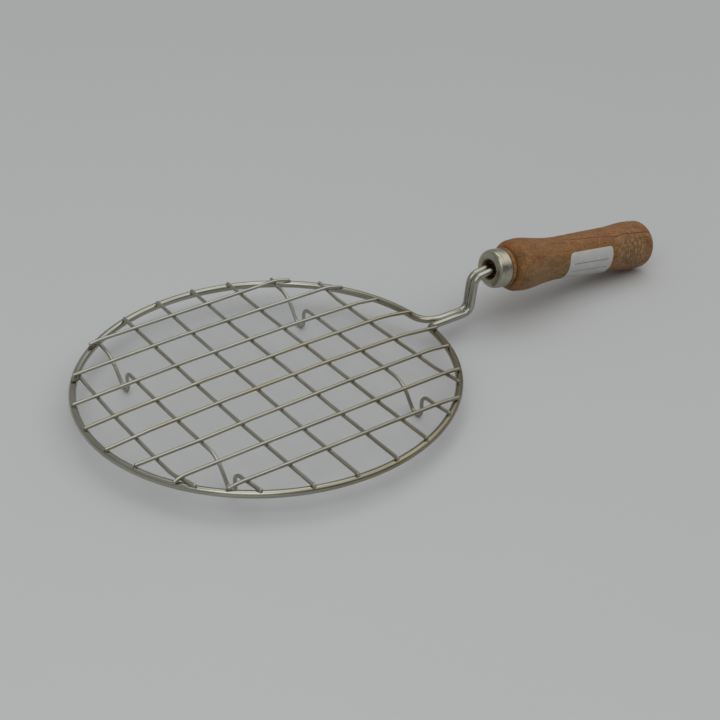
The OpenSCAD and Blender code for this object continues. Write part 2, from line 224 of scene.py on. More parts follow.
def wood_material():
    """Turned softwood under a thin worn varnish: mottled brown, orange painted light on the upper side and lower edge,
    grey-tan blotches, lathe chatter, one drying crack.
    """
    g = Graph("wood_turned_varnished")
    p = g.attr("local", True)
    x, y, z = g.split(p)
    crack = g.attr("crack")
    chat = g.attr("chatter")
    end = g.attr("endgrain")
    pit_and_groove_shade = g.attr("painted_shade_and_grime")
    worn = g.attr("worn")
    warp = g.noise(g.scale(p, (0.07, 0.07, 0.025)), 1.0, 3.0, 0.5, colour=True)
    pw = g.add(p, g.scale(warp, (5.0, 5.0, 2.0)))
    fibre = g.noise(g.scale(pw, (1.5, 1.5, 0.09)), 1.0, 4.0, 0.6)
    hair = g.noise(g.scale(pw, (5.0, 5.0, 0.16)), 1.0, 3.0, 0.6)
    cloud = g.noise(g.add(g.scale(p, (0.17, 0.17, 0.10)), (7.0, 3.0, 1.0)), 1.0, 5.0, 0.62, 0.6)
    mott = g.noise(g.scale(pw, (1.25, 1.25, 0.80)), 1.0, 3.0, 0.6)
    mott2 = g.noise(g.add(g.scale(p, (0.55, 0.55, 0.42)), (4.0, 8.0, 2.0)), 1.0, 4.0, 0.65)
    up = g.range(g.math("MULTIPLY", x, -1.0), -6.0, 12.0)
    low = g.range(x, 7.5, 12.5)
    body = g.math("ADD", g.math("MULTIPLY", fibre, 0.34), g.math("ADD", g.math("MULTIPLY", cloud, 0.40), g.math("MULTIPLY", mott2, 0.26)))
    col = g.ramp(body, [(0.41, (0.112, 0.046, 0.013)), (0.465, (0.186, 0.081, 0.024)), (0.52, (0.262, 0.122, 0.039)), (0.585, (0.352, 0.182, 0.066))])
    # painted light: orange laid on the upper side and along the lower edge, broken up by the wood's own streaks
    streak = g.noise(g.scale(pw, (0.50, 0.50, 0.030)), 1.0, 3.0, 0.5)
    orange_streaks_and_painted_light = g.math("MULTIPLY", g.range(streak, 0.36, 0.62, 0.35, 1.0), g.math("MAXIMUM", g.math("MULTIPLY", up, 0.62), g.math("MULTIPLY", low, 0.60)))
    col = g.mix(orange_streaks_and_painted_light, col, (0.320, 0.118, 0.024))
    # grey-tan where the varnish is worn through
    grey = g.math("MULTIPLY", worn, g.range(cloud, 0.30, 0.54))
    col = g.mix(g.math("MULTIPLY", grey, 0.78), col, (0.262, 0.178, 0.092))
    # fine mottling
    col = g.mix(g.range(mott, 0.50, 0.68, 0.0, 0.50), col, (0.375, 0.232, 0.108))
    col = g.mix(g.range(mott, 0.50, 0.34, 0.0, 0.46), col, (0.092, 0.042, 0.015))
    col = g.mix(g.math("MULTIPLY", g.range(hair, 0.56, 0.70), g.range(up, 0.35, 0.9, 0.12, 0.50)), col, (0.125, 0.055, 0.024))
    spot = g.math("MULTIPLY", g.attr("spot"), g.range(mott, 0.46, 0.58))
    col = g.mix(g.math("MULTIPLY", spot, 0.75), col, (0.085, 0.066, 0.050))
    # lathe chatter: short dark and pale rings across the grain
    wave = g.noise(g.add(g.scale(p, (0.34, 0.34, 1.9)), (1.0, 5.0, 0.0)), 1.0, 2.0, 0.55)
    wmask = g.math("MULTIPLY", g.range(wave, 0.50, 0.57), g.math("MULTIPLY", chat, g.range(mott2, 0.36, 0.58)))
    col = g.mix(g.math("MULTIPLY", wmask, 0.80), col, (0.105, 0.056, 0.028))
    lite = g.math("MULTIPLY", g.range(wave, 0.48, 0.41), chat)
    col = g.mix(g.math("MULTIPLY", lite, 0.62), col, (0.415, 0.310, 0.190))
    # the crack: a thin dark line with a pale worn edge
    jag = g.math("ADD", crack, g.math("MULTIPLY", g.math("SUBTRACT", g.noise(g.scale(p, (0.9, 0.9, 0.7)), 1.0, 4.0, 0.65), 0.5), 1.1))
    side = g.range(jag, 0.20, 0.95, 1.0, 0.0)
    side = g.math("MULTIPLY", side, g.range(jag, -0.25, 0.05))
    col = g.mix(g.math("MULTIPLY", side, 0.30), col, (0.42, 0.30, 0.20))
    gap = g.range(g.math("ABSOLUTE", jag), 0.16, 0.42, 1.0, 0.0)
    col = g.mix(g.math("MULTIPLY", gap, 0.88), col, (0.060, 0.020, 0.014))
    # end grain at the tail: growth rings round a pith that lies outside the handle
    px, py, pz = g.split(pw)
    dx = g.math("ADD", px, 23.0)
    dy = g.math("ADD", py, -16.0)
    rr = g.math("SQRT", g.math("ADD", g.math("MULTIPLY", dx, dx), g.math("MULTIPLY", dy, dy)))
    rgs = g.math("SINE", g.math("MULTIPLY", rr, 3.4))
    egc = g.mix(g.range(rgs, -1.0, 1.0), (0.20, 0.105, 0.052), (0.33, 0.195, 0.105))
    egc = g.mix(g.range(mott, 0.45, 0.7, 0.0, 0.6), egc, (0.14, 0.078, 0.042))
    col = g.mix(end, col, egc)
    # painted shade: near-black in the pit inside the ferrule and in the two turned grooves behind it, at about half
    # strength on the lip of the pit
    col = g.mix(g.math("MULTIPLY", pit_and_groove_shade, 0.85), col, (0.055, 0.026, 0.014))
    rough = g.math("ADD", g.range(fibre, 0.3, 0.7, 0.48, 0.60), g.math("MULTIPLY", grey, 0.12))
    rough = g.math("ADD", rough, g.math("MULTIPLY", end, 0.15))
    hgt = g.math("SUBTRACT", g.math("ADD", g.math("MULTIPLY", fibre, 0.6), g.math("MULTIPLY", hair, -0.3)), g.math("MULTIPLY", wmask, 0.9))
    bump = g.bump(hgt, 0.5, 0.00012)
    g.set(Base_Color=col, Roughness=rough, Normal=bump)
    g.b.inputs["Specular IOR Level"].default_value = 0.26
    g.b.inputs["Coat Weight"].default_value = 0.05
    g.b.inputs["Coat Roughness"].default_value = 0.38
    return g.mat


def paper_material():
    """White coated sticker paper, a little handled, with three plain ruled lines and nothing written on them; its edges
    are darker from grime and painted shade.
    """
    g = Graph("paper_label_coated")
    q = g.attr("sheet", True)
    u, v, _ = g.split(q)
    edge = g.attr("painted_shade_and_grime")
    fibre = g.noise(g.scale(q, (3.0, 3.0, 3.0)), 1.0, 5.0, 0.7)
    stain = g.noise(g.scale(q, (0.18, 0.14, 0.2)), 1.0, 4.0, 0.6, 0.4)
    col = g.mix(g.range(stain, 0.35, 0.7), (0.505, 0.510, 0.495), (0.575, 0.580, 0.565))
    col = g.mix(g.range(fibre, 0.5, 0.8, 0.0, 0.18), col, (0.48, 0.475, 0.455))
    ink = None
    for centre, half in ((7.0, 0.20), (12.0, 0.20), (17.0, 0.20)):
        m = g.range(g.math("ABSOLUTE", g.math("SUBTRACT", u, centre)), half, half + 0.09, 1.0, 0.0)
        ink = m if ink is None else g.math("MAXIMUM", ink, m)
    ink = g.math("MULTIPLY", ink, g.range(g.math("ABSOLUTE", v), 13.4, 13.6, 1.0, 0.0))
    ink = g.math("MULTIPLY", ink, g.range(fibre, 0.25, 0.5, 0.55, 0.9))
    col = g.mix(ink, col, (0.17, 0.17, 0.18))
    # darker, browner at the edges: handling grime and painted edge shade
    col = g.mix(g.math("MULTIPLY", edge, 0.55), col, (0.38, 0.34, 0.29))
    bump = g.bump(fibre, 0.35, 0.00003)
    g.set(Base_Color=col, Roughness=g.range(fibre, 0.3, 0.7, 0.42, 0.56), Normal=bump)
    return g.mat


def floor_material():
    g = Graph("floor_pale")
    n = g.t.nodes.new("ShaderNodeTexCoord")
    f = g.noise(g.scale(n.outputs["Object"], (3.0, 3.0, 3.0)), 1.0, 3.0, 0.5)
    g.set(Base_Color=g.mix(f, (0.555, 0.565, 0.575), (0.575, 0.585, 0.595)), Roughness=0.75)
    g.b.inputs["Specular IOR Level"].default_value = 0.2
    return g.mat


# ------------------------------------------------------------------ meshes
def build(name, verts, faces, mat, floats=None, vectors=None, node=None):
    """A closed mesh in millimetres of the row frame, riding on root, with its per-point attributes."""
    me = bpy.data.meshes.new(name)
    me.from_pydata([(v[0] * MM, v[1] * MM, v[2] * MM) for v in verts], [], faces)
    me.update()
    for key, vals in (floats or {}).items():
        me.attributes.new(key, "FLOAT", "POINT").data.foreach_set("value", vals)
    for key, vals in (vectors or {}).items():
        me.attributes.new(key, "FLOAT_VECTOR", "POINT").data.foreach_set("vector", [c for v in vals for c in v])
    me.polygons.foreach_set("use_smooth", [True] * len(me.polygons))
    me.materials.append(mat)
    ob = bpy.data.objects.new(name, me)
    scene.collection.objects.link(ob)
    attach(ob, "root")
    if node:
        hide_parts(node)
    return ob


def bent(P, step, soft=45.0):
    """Points along a list of corners (x, y, z[, bend radius]): straight runs and round bends."""
    pts = [Vector(p[:3]) for p in P]
    out = [pts[0].copy()]

    def run(b):
        a = out[-1].copy()
        k = max(1, round((b - a).length / step))
        out.extend(a.lerp(b, i / k) for i in range(1, k + 1))

    for i in range(1, len(pts) - 1):
        u = (pts[i] - pts[i - 1]).normalized()
        v = (pts[i + 1] - pts[i]).normalized()
        th = u.angle(v)
        if th < 1e-4:
            run(pts[i])
            continue
        r = P[i][3] if len(P[i]) > 3 else soft
        cut = r * math.tan(th / 2)
        if len(P[i]) < 4:
            cut = min(cut, 0.45 * min((pts[i] - pts[i - 1]).length, (pts[i + 1] - pts[i]).length))
            r = cut / math.tan(th / 2)
        run(pts[i] - u * cut)
        w = u.cross(v).normalized().cross(u)
        o = out[-1] + w * r
        k = max(3, math.ceil(th / math.radians(7)), math.ceil(r * th / step))
        for j in range(1, k + 1):
            f = th * j / k
            out.append(o - w * r * math.cos(f) + u * r * math.sin(f))
    run(pts[-1])
    return out


def frames(path):
    """Tangent and two normals at every point, carried along without twist."""
    n = len(path)
    T = [(path[min(i + 1, n - 1)] - path[max(i - 1, 0)]).normalized() for i in range(n)]
    h = Vector((0, 0, 1)) if abs(T[0].z) < 0.8 else Vector((0, 1, 0))
    N = (h - T[0] * h.dot(T[0])).normalized()
    res = []
    for t in T:
        N = (N - t * N.dot(t)).normalized()
        res.append((t, N, t.cross(N)))
    return res


def browned(p, most):
    """The steel is browner towards the near side of the grate under the handle; the neck is clean."""
    k = max(0.0, min(1.0, ((p.x - p.y) / 141 - 0.10) / 0.75)) * max(0.0, min(1.0, (108 - p.x) / 10))
    return most * k * k * (3 - 2 * k)


def tube(path, radius, sides, hot=(), straw=0.0, tilt=(0.0, 0.0), seed=0.0, brown=0.6):
    """Vertices, faces and attributes of a drawn wire with sheared ends. hot is a list of (point, reach, strength)."""
    fr = frames(path)
    n = len(path)
    S = [0.0]
    for a, b in zip(path, path[1:]):
        S.append(S[-1] + (b - a).length)
    verts, wire, heat, strw, brwn = [], [], [], [], []

    def ring(i, shrink, push, cutting):
        t, N, B = fr[i]
        base = radius * shrink
        lump = 1 + 0.010 * noise.noise(Vector((seed, 0.0, S[i] * 0.11)))
        for j in range(sides):
            a = 2 * math.pi * j / sides
            ca, sa = math.cos(a), math.sin(a)
            r = base * lump * (1 + 0.006 * noise.noise(Vector((seed + ca, sa, S[i] * 0.25))))
            p = path[i] + N * (ca * r) + B * (sa * r) + t * (push + cutting * ca * shrink)
            verts.append(p + Vector((0, 0, ZR)))
            wire.append((ca * radius, sa * radius, S[i] + push + seed * 37))
            h = 0.0
            for q, reach, k in hot:
                d = (p - q).length
                if d < reach * 3:
                    h = max(h, k * math.exp(-(d / reach) ** 2))
            heat.append(h)
            strw.append(straw)
            brwn.append(browned(p, brown))

    c0, c1 = tilt
    ring(0, 0.80, 0.0, c0)
    ring(0, 0.93, 0.03, c0)
    ring(0, 1.0, 0.14, c0)
    for i in range(1, n - 1):
        ring(i, 1.0, 0.0, 0.0)
    ring(n - 1, 1.0, -0.14, c1)
    ring(n - 1, 0.93, -0.03, c1)
    ring(n - 1, 0.80, 0.0, c1)
    rings = n + 4
    faces = []
    for i in range(rings - 1):
        for j in range(sides):
            k = (j + 1) % sides
            faces.append((i * sides + j, i * sides + k, (i + 1) * sides + k, (i + 1) * sides + j))
    for i, flip in ((0, True), (rings - 1, False)):
        c = len(verts)
        verts.append(sum((verts[i * sides + j] for j in range(sides)), Vector()) / sides)
        wire.append((0, 0, wire[i * sides][2]))
        heat.append(max(heat[i * sides + j] for j in range(sides)))
        strw.append(straw)
        brwn.append(brwn[i * sides])
        for j in range(sides):
            k = (j + 1) % sides
            a, b = i * sides + j, i * sides + k
            faces.append((c, b, a) if flip else (c, a, b))
    return verts, faces, {"heat": heat, "straw": strw, "brown": brwn}, {"wire": wire}


# ------------------------------------------------------------------ the wires' paths
s, t = 2.85, 4.5
TOP = [
    [(-63.3, 76.8, 4.3), (-57.5, 77.8, 4.5), (55.5, 78.2, 4.6), (63.3, 76.8, s)],
    [(-84, 54, 4.35), (-55, 55.2, 4.4), (-20, 56.1, t), (30, 55.6, t), (76, 55.1, 4.15), (83.5, 53.2, s)],
    [(-95.5, 31.3, s), (-30, 31.6, t), (30, 31.6, t), (80, 31.7, 3.2), (92.6, 31.2, 1.75)],
    [(-100.1, 8.8, s), (-80, 9.7, 3.35), (-30, 10.4, t), (30, 10.4, t), (84, 11.4, 3.1), (98.6, 7.4, s)],
    [(-99.8, -13.2, s), (-75, -11.6, 3.4), (-30, -11.6, t), (30, -11.3, t), (80, -11, 3.2), (100.5, -14.4, s)],
    [(-94.2, -32.8, s), (-60, -33.8, 3.75), (-30, -33.6, t), (30, -32.8, t), (84, -31.4, 3.1), (93.6, -33.2, s)],
    [(-86, -55.3, s), (-81.3, -54.7, 4.15), (-40, -54.7, 4.45), (30, -55.1, t), (76, -55, 3.95), (84.3, -54.6, s)],
    [(-67.8, -73.9, s), (-61, -74.8, 4.4), (-35, -75.4, 4.45), (25, -75.7, 4.45), (56, -76.3, 4.4), (67.4, -75.6, s)],
]
FOOT_V = -11.6 - 4.5 * (math.tan(math.radians(72.5)) - 1)


def foot(x, y, za, zb, lean_x):
    return [(x, y + (za - FOOT_V) * math.tan(math.radians(35)), za, 14), (x + lean_x, y, FOOT_V, 4.5), (x, y, zb, 5.5)]


CROSS = [
    [(-80.4, 57.5, s), (-80.7, 45, 1.5), (-82.1, 12, 1.35), (-82.5, -30, 1.35), (-82.4, -48, 1.45), (-80.2, -58.2, 2.8), (-78.9, -63.9, s)],
    [(-57.2, 80.6, s), *foot(-58.2, 45.4, 2.55, 2, 1.2), (-58.8, -5, 2), *foot(-58.2, -64, 2, 2.55, 0.4), (-57.6, -72, 2.6), (-55.8, -84.6, s)],
    [(-34.3, 93, s), (-34.5, 68, 2.6), (-35.1, 20, 2.58), (-35, -30, 2.58), (-34.2, -65, 2.6), (-33.8, -96, s)],
    [(-10.7, 98.2, s), (-11.5, 58, 2.65), (-12.3, -58, 2.65), (-12, -100.6, s)],
    [(11.5, 98.8, s), (10.5, 50, 2.65), (10.8, 0, 2.65), (10.2, -45, 2.65), (10.6, -75, 2.65), (10.6, -100.9, s)],
    [(32.4, 94, s), (31.8, 50, 2.6), (31.5, -50, 2.6), (32, -95.4, s)],
    [(55.7, 83.8, s), (53.9, 77, 2.7), *foot(53.5, 46.9, 2.55, 2.03, 0), *foot(53.4, -62.6, 2.03, 2.55, 0.4), (53.5, -73, 2.6), (54.5, -84.6, s)],
    [(75.7, 64.2, s), (74.6, 44, 1.55), (74.7, 15, 1.45), (75.6, -25, 1.45), (75.5, -45, 1.5), (76.4, -64.2, s)],
]
RW, RR = 1.0, 2.0
CROSS_NAMES = ["cross_wire_1", "cross_wire_2_with_feet", "cross_wire_3", "cross_wire_4", "cross_wire_5", "cross_wire_6", "cross_wire_7_with_feet", "cross_wire_8"]

top_lines = [bent(P, 1.6) for P in TOP]
cross_lines = [bent(P, 1.6) for P in CROSS]

# the rim and neck: one wire from inside the handle, round the rim, and back into the handle
NECK_Y, PITCH = -6.0, 4.05
FACE = Vector((142.7, NECK_Y, 21.5))
lean = math.asin((34.1 - 125) / math.hypot(108.5, 14.3 - 125)) - math.atan2(14.3 - 125, 108.5)
yaw = math.radians(0.7)
AX = Vector((math.cos(lean) * math.cos(yaw), math.cos(lean) * math.sin(yaw), -math.sin(lean)))
LY = Vector((-math.sin(yaw), math.cos(yaw), 0))
LX = LY.cross(AX)


def strand(x0, dy):
    return [(x0, NECK_Y + dy, 0), (128.53, NECK_Y + dy, 0, 5), (131.43, NECK_Y + dy, 20.3, 5.6),
            (142.3, NECK_Y + dy, 21.5 + 0.4 * math.tan(lean), 4), tuple(FACE + AX * 26 + LY * dy)]


far_y, near_y = NECK_Y + PITCH / 2, NECK_Y - PITCH / 2
far_c = Vector((math.sqrt(112 ** 2 - (far_y + 12) ** 2), far_y + 12, 0))
near_c = Vector((math.sqrt(104 ** 2 - (near_y - 4) ** 2), near_y - 4, 0))
far_a, near_a = math.atan2(far_c.y, far_c.x), math.atan2(near_c.y, near_c.x)


def circle_arc(c, r, a, b, step=1.2):
    k = max(6, math.ceil(abs(b - a) * r / step), math.ceil(abs(b - a) / math.radians(6)))
    return [c + Vector((r * math.cos(a + (b - a) * i / k), r * math.sin(a + (b - a) * i / k), 0)) for i in range(k + 1)]


rim_line = list(reversed(bent(strand(far_c.x, PITCH / 2), 1.2)))
rim_line += circle_arc(far_c, 12, math.radians(270), math.pi + far_a)[1:]
rim_line += circle_arc(Vector((0, 0, 0)), 100, far_a, 2 * math.pi + near_a)[1:]
rim_line += circle_arc(near_c, 4, math.pi + near_a, math.radians(90))[1:]
rim_line += bent(strand(near_c.x, -PITCH / 2), 1.2)[1:]


def nearest(A, B):
    """Closest approach of two lines seen from above: (distance, point on A, point on B)."""
    best = (1e9, None, None)
    for i in range(len(A) - 1):
        a0, a1 = A[i], A[i + 1]
        for j in range(len(B) - 1):
            b0, b1 = B[j], B[j + 1]
            if abs(a0.x - b0.x) > 3.5 or abs(a0.y - b0.y) > 3.5:
                continue
            for u in (0, 0.25, 0.5, 0.75, 1):
                p = a0.lerp(a1, u)
                d = b1 - b0
                v = max(0, min(1, (p - b0).xy.dot(d.xy) / max(d.xy.length_squared, 1e-9)))
                q = b0.lerp(b1, v)
                k = (p - q).xy.length
                if k < best[0]:
                    best = (k, p, q)
    return best


crossings = []            # (point on the top wire, point on the cross wire, i, j)
for i, A in enumerate(top_lines):
    for j, B in enumerate(cross_lines):
        d, p, q = nearest(A, B)
        if p is not None and d < 0.5 and abs(p.z - q.z) < 2.2:
            crossings.append((p, q, i, j))

# where the wires meet the rim
seats = []                # (point on the wire, direction of the wire, list index, kind)
for kind, lines in (("top", top_lines), ("cross", cross_lines)):
    for i, A in enumerate(lines):
        for end in (0, -1):
            rng = range(len(A) // 3) if end == 0 else range(len(A) - 1, len(A) - 1 - len(A) // 3, -1)
            best = min(rng, key=lambda k: abs(A[k].xy.length - 100))
            if abs(A[best].xy.length - 100) < 2.2 and A[best].z < 3.3:
                nb = A[best + 1] if best + 1 < len(A) else A[best - 1]
                seats.append((A[best].copy(), (nb - A[best]).normalized(), i, kind))

MAT_WIRE = steel_wire_material("steel_wire_satin", 0.0, 0.30)
# the rim's dark lines are set stronger as painted reflection: dark streaks along the polished rim and neck
MAT_RIM = steel_wire_material("steel_rim_wire_polished", 0.085, 0.58)
MAT_WELD = weld_material()
MAT_FERRULE = ferrule_material()
MAT_WOOD = wood_material()
MAT_PAPER = paper_material()

TOP_STRAW = [0.10, 0.15, 0.25, 0.75, 0.80, 0.40, 0.20, 0.15]
for i, A in enumerate(top_lines):
    hot = [((p + q) / 2, rnd.uniform(1.3, 2.1), rnd.uniform(0.35, 0.75)) for p, q, a, b in crossings if a == i]
    hot += [(A[0], rnd.uniform(2.0, 3.0), rnd.uniform(0.7, 1.0)), (A[-1], rnd.uniform(2.0, 3.2), rnd.uniform(0.7, 1.0))]
    v, f, fl, ve = tube(A, RW, 20, hot, TOP_STRAW[i], (rnd.uniform(-0.12, 0.12), rnd.uniform(-0.12, 0.12)), seed=i + 1.3)
    build(f"top_wire_{i + 1}_drawn", v, f, MAT_WIRE, fl, ve, f"top_wire_{i + 1}")
for j, A in enumerate(cross_lines):
    hot = [((p + q) / 2, rnd.uniform(1.5, 2.4), rnd.uniform(0.5, 0.95)) for p, q, a, b in crossings if b == j]
    hot += [(A[0], rnd.uniform(2.2, 3.4), rnd.uniform(0.75, 1.0)), (A[-1], rnd.uniform(2.2, 3.4), rnd.uniform(0.75, 1.0))]
    v, f, fl, ve = tube(A, RW, 20, hot, 0.15 + 0.1 * (j % 3), (rnd.uniform(-0.12, 0.12), rnd.uniform(-0.12, 0.12)), seed=j + 20.7)
    build(f"{CROSS_NAMES[j]}_drawn", v, f, MAT_WIRE, fl, ve, CROSS_NAMES[j])

hot = []
for p, d, i, kind in seats:
    c = Vector((p.x, p.y, 0)).normalized() * 100
    hot.append((c + Vector((0, 0, 1.7)), rnd.uniform(1.8, 2.8), rnd.uniform(0.55, 1.0)))
v, f, fl, ve = tube(rim_line, RR, 32, hot, 0.20, (0, 0), 51.0, 0.92)
build("rim_and_neck_wire_drawn", v, f, MAT_RIM, fl, ve, "rim_and_neck_wire")


# ------------------------------------------------------------------ spot welds
def nugget(verts, faces, coords, centre, along, half):
    """A small lump of fused steel: a rough ellipsoid with its long side along a wire."""
    bm = bmesh.new()
    bmesh.ops.create_icosphere(bm, subdivisions=3, radius=1.0)
    a = Vector((along.x, along.y, 0)).normalized()
    b = Vector((-a.y, a.x, 0))
    base = len(verts)
    k = rnd.uniform(0, 90)
    for w in bm.verts:
        c = w.co
        r = 1 + 0.16 * noise.noise(c * 1.7 + Vector((k, 0, 0))) + 0.05 * noise.noise(c * 5 + Vector((0, k, 0)))
        p = centre + a * (c.x * r * half[0]) + b * (c.y * r * half[1]) + Vector((0, 0, c.z * r * half[2]))
        verts.append(p + Vector((0, 0, ZR)))
        coords.append(tuple(p))
    for fc in bm.faces:
        faces.append(tuple(base + w.index for w in fc.verts))
    bm.free()


wv, wf, wc = [], [], []
for p, q, i, j in crossings:
    A = cross_lines[j]
    k = min(range(len(A) - 1), key=lambda n: (A[n] - q).length)
    d = (A[min(k + 1, len(A) - 1)] - A[max(k - 1, 0)]).normalized()
    c = Vector((q.x, q.y, (p.z + q.z) / 2 - 0.12))
    c += d * rnd.uniform(-0.25, 0.25)
    nugget(wv, wf, wc, c, d, (rnd.uniform(1.20, 1.55), rnd.uniform(0.80, 0.95), rnd.uniform(0.42, 0.55)))
for p, d, i, kind in seats:
    c = Vector((p.x, p.y, 0)).normalized() * 100
    c = Vector((c.x * 0.7 + p.x * 0.3, c.y * 0.7 + p.y * 0.3, 1.86))
    nugget(wv, wf, wc, c, d, (rnd.uniform(1.10, 1.35), rnd.uniform(0.88, 1.02), rnd.uniform(0.36, 0.48)))
# two wire ends stand off the rim, each on a longer bead
for c in (Vector((-61.6, 76.9, 2.45)), Vector((-83.6, 52.4, 2.40))):
    nugget(wv, wf, wc, c, Vector((1.0, 0.12, 0.0)), (2.9, 1.10, 1.05))
build("spot_welds", wv, wf, MAT_WELD, None, {"wire": wc})


# ------------------------------------------------------------------ turned handle, ferrule and label
def on_axis(x, y, z):
    """From the handle's own frame (Z along its axis from the ferrule face, X downwards) to the row frame, mm."""
    return FACE + LX * x + LY * y + AX * z + Vector((0, 0, ZR))


STATIONS = [(22, 14.9, 0), (30, 14.15, -0.17), (40, 12.8, -0.10), (52, 12.2, 0), (66, 12.5, 0.022), (85, 12.95, 0.03), (98, 13.55, 0.115), (108.5, 14.3, 0)]


def outline(x):
    for a, b in zip(STATIONS, STATIONS[1:]):
        if a[0] <= x <= b[0]:
            h = b[0] - a[0]
            q = (x - a[0]) / h
            return a[1] * (1 + 2 * q) * (1 - q) ** 2 + h * a[2] * q * (1 - q) ** 2 + b[1] * q * q * (3 - 2 * q) + h * b[2] * q * q * (q - 1)
    return 14.3 - (x - 108.5) ** 2 / 250 * 1.2


def lathe(profile, sides, attr, wobble=None):
    """Turns [(radius, z)] round the axis. A radius of 0 at either end closes it to a point; otherwise it is a ring closed on itself."""
    verts, local, extra = [], [], {k: [] for k in attr}
    rows = []
    for r, z in profile:
        row = []
        for j in range(1 if r < 1e-6 else sides):
            a = 2 * math.pi * j / sides
            rr = r + (wobble(r, z, a) if wobble and r > 0.5 else 0)
            x, y = rr * math.cos(a), rr * math.sin(a)
            row.append(len(verts))
            verts.append(on_axis(x, y, z))
            local.append((x, y, z))
            for k, fn in attr.items():
                extra[k].append(fn(r, z, a))
        rows.append(row)
    faces = []
    closed = len(rows[0]) > 1 and len(rows[-1]) > 1
    pairs = list(zip(rows, rows[1:])) + ([(rows[-1], rows[0])] if closed else [])
    for A, B in pairs:
        for j in range(sides):
            k = (j + 1) % sides
            a0, a1 = (A[0], A[0]) if len(A) == 1 else (A[j], A[k])
            b0, b1 = (B[0], B[0]) if len(B) == 1 else (B[j], B[k])
            if a0 == a1:
                faces.append((a0, b1, b0))
            elif b0 == b1:
                faces.append((a0, a1, b0))
            else:
                faces.append((a0, a1, b1, b0))
    return verts, faces, local, extra


def theta(a):
    """Angle from the top of the handle towards the near side, degrees, for a polar angle in its frame."""
    d = math.degrees(a) - 180
    return (d + 180) % 360 - 180


# the drying crack: (distance along the handle, angle from the top)
CRACK = [(40, 3), (47, 8), (53, 13), (59, 17), (66.5, 20), (75.5, 24), (81.5, 27), (88, 32), (90.5, 33.5), (93, 30.5), (97, 31), (104.5, 34), (112, 36), (116.5, 37.5), (120.3, 38.5)]


def crack_at(z):
    for (a, x), (b, y) in zip(CRACK, CRACK[1:]):
        if a <= z <= b:
            return x + (y - x) * (z - a) / (b - a)
    return None


def crack_distance(r, z, a):
    """Distance in mm from the crack, measured round the handle; large where there is none."""
    c = crack_at(z)
    if c is None or r < 6:
        return 9.0
    d = math.radians(((theta(a) - c + 180) % 360) - 180) * max(r, 1)
    fade = max(0.0, (56 - z) / 14) * 1.0
    return d + fade * (1 if d >= 0 else -1)


def bell(v, middle, width):
    return math.exp(-((v - middle) / width) ** 2)


def chatter(r, z, a):
    th = theta(a)
    m = max(0.0, 1 - abs(th - 78) / 52) * max(0.0, min(1.0, (z - 88) / 5)) * max(0.0, min(1.0, (112 - z) / 6))
    return min(1.0, m * 1.8)


def worn_patch(r, z, a):
    """How far the varnish is worn: the side of the bulb and waist, two bands before the label, and the side of the tail."""
    th = theta(a)
    m = bell(th, 92, 36) * max(0.0, min(1.0, (z - 13) / 7)) * max(0.0, min(1.0, (62 - z) / 14)) * 0.85
    m = max(m, bell(z, 37, 2.0) * bell(th, 92, 24), bell(z, 46.5, 1.6) * bell(th, 78, 22))
    m = max(m, 0.75 * bell(th, 92, 26) * max(0.0, min(1.0, (z - 88) / 6)) * max(0.0, min(1.0, (116 - z) / 6)))
    return m + 0.12 * bell(th, -120, 60)


def dark_spots(r, z, a):
    th = theta(a)
    return max(bell(z, 16.5, 2.2) * bell(th, 97, 11), 0.8 * bell(z, 35, 3.0) * bell(th, 70, 8), 0.7 * bell(z, 41, 2.0) * bell(th, 103, 7))


def end_grain(r, z, a):
    return 1.0 if z > 120.2 else max(0.0, min(1.0, (z - 118.4) / 1.8)) * 0.6


# Painted shade for the wood: the pit inside the ferrule and the two turned grooves behind it are darkened where shade
# falls.
def wood_recess_painted_shade(r, z, a):
    if z < 8.2:
        return 0.45 + 0.55 * max(0.0, min(1.0, (z - 0.8) / 1.2)) if r < 6 else 1.0
    d = math.exp(-((z - 12.0) / 0.62) ** 2) * 0.95
    return max(d, math.exp(-((z - 8.3) / 0.28) ** 2) * 0.8)


def wood_wobble(r, z, a):
    w = 0.10 * noise.noise(Vector((math.cos(a) * 0.8, math.sin(a) * 0.8, z * 0.035)))
    w += 0.035 * noise.noise(Vector((math.cos(a) * 2.2, math.sin(a) * 2.2, z * 0.30)))
    w += 0.030 * chatter(r, z, a) * noise.noise(Vector((math.cos(a) * 3, math.sin(a) * 3, z * 1.9)))
    c = crack_distance(r, z, a)
    if abs(c) < 2:
        w -= 0.22 * math.exp(-(c / 0.33) ** 2)
    if z < 13:
        w *= 0.3
    return w


wood_profile = [(0, 4.5), (1.5, 4.5), (3.0, 4.48), (4.3, 4.42), (4.9, 4.2), (5.15, 3.7), (5.2, 2.8), (5.2, 1.9), (5.22, 1.25), (5.32, 0.86), (5.55, 0.68), (6.3, 0.66), (7.6, 0.66), (8.3, 0.66), (9.3, 1.4), (10.33, 2.9), (10.33, 6.0), (10.33, 8.24),
                (10.70, 8.25), (10.94, 8.36), (11.07, 8.60), (11.09, 9.1), (11.09, 9.7), (11.09, 10.3), (11.05, 10.68), (10.90, 10.96), (10.66, 11.16), (10.46, 11.42), (10.34, 11.8), (10.27, 12.2)]
for k in range(16):
    a = math.radians(165 - 60 * k / 15)
    wood_profile.append((8.7 + 6 * math.sin(a), 18.2 + 6 * math.cos(a)))
z = 17.2
wood_profile += [(14.9 - (zz - 22) ** 2 / 40, zz) for zz in (17.7, 18.4, 19.2, 20.0, 21.0)]
z = 22.0
while z < 115.2:
    wood_profile.append((outline(z), z))
    z += 0.42 if z > 88 else 0.6
end_c = outline(115.3)
for k in range(13):
    a = math.radians(90 * k / 12)
    wood_profile.append((end_c - 5.2 + 5.2 * math.cos(a), 115.3 + 5.2 * math.sin(a)))
for r in (7.6, 5.6, 3.6, 1.8):
    wood_profile.append((r, 120.5))
